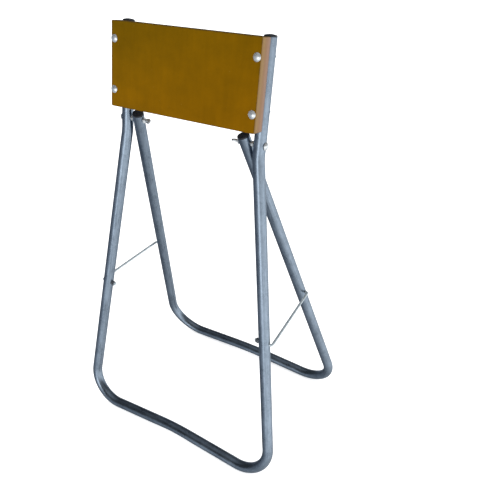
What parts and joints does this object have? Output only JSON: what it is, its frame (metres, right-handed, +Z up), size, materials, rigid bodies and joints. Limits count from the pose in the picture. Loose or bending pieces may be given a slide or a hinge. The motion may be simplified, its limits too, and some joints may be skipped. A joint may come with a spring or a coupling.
{
  "type": "folding trestle stand",
  "caption": "Folding A-shaped trestle stand of bent steel tube with an upright clamping board between its tube ends, rod stays that hook open and thumb screws at the pivots.",
  "frame": {"origin": "centre of the footprint on the floor, between the two floor bars", "axes": "+X along the board, -Y the way the board faces, +Z up"},
  "size_m": [0.556, 0.401, 0.9797],
  "materials": {
    "galvanised_tube": "dull zinc coated steel tube",
    "plywood": "film faced plywood with bare edges",
    "black_plastic": "matt moulded plastic",
    "zinc_hardware": "bright zinc plated"
  },
  "bodies": {
    "front": {"front_frame": "galvanised_tube", "board": "plywood", "front_plug_left": "black_plastic", "front_plug_right": "black_plastic", "board_bolts": "zinc_hardware", "board_washers": "zinc_hardware", "board_nuts": "zinc_hardware", "sleeve_nut_left": "zinc_hardware", "sleeve_nut_right": "zinc_hardware", "pivot_spacer_left": "zinc_hardware", "pivot_spacer_right": "zinc_hardware", "pivot_washer_left": "zinc_hardware", "pivot_washer_right": "zinc_hardware"},
    "rear": {"rear_frame": "galvanised_tube", "rear_plug_left": "black_plastic", "rear_plug_right": "black_plastic"},
    "stay_l": {"stay_left": "zinc_hardware", "stay_washer_left": "zinc_hardware", "stay_nut_left": "zinc_hardware"},
    "stay_r": {"stay_right": "zinc_hardware", "stay_washer_right": "zinc_hardware", "stay_nut_right": "zinc_hardware"},
    "screw_l": {"thumb_screw_left": "zinc_hardware"},
    "screw_r": {"thumb_screw_right": "zinc_hardware"}
  },
  "joints": [
    {"name": "frame_fold", "type": "hinge", "parent": "front", "child": "rear", "pos_m": [0, -0.07095, 0.77759], "axis": [-1, 0, 0], "range_deg": [0, 22]},
    {"name": "stay_left_swing", "type": "hinge", "parent": "front", "child": "stay_l", "pos_m": [-0.225, -0.13448, 0.36243], "axis": [1, 0, 0], "range_deg": [0, 76]},
    {"name": "stay_right_swing", "type": "hinge", "parent": "front", "child": "stay_r", "pos_m": [0.225, -0.13448, 0.36243], "axis": [1, 0, 0], "range_deg": [0, 76]},
    {"name": "thumb_screw_left_turn", "type": "hinge", "parent": "front", "child": "screw_l", "pos_m": [-0.113, -0.07095, 0.77759], "axis": [1, 0, 0], "continuous": true},
    {"name": "thumb_screw_right_turn", "type": "hinge", "parent": "front", "child": "screw_r", "pos_m": [0.113, -0.07095, 0.77759], "axis": [1, 0, 0], "continuous": true}
  ]
}
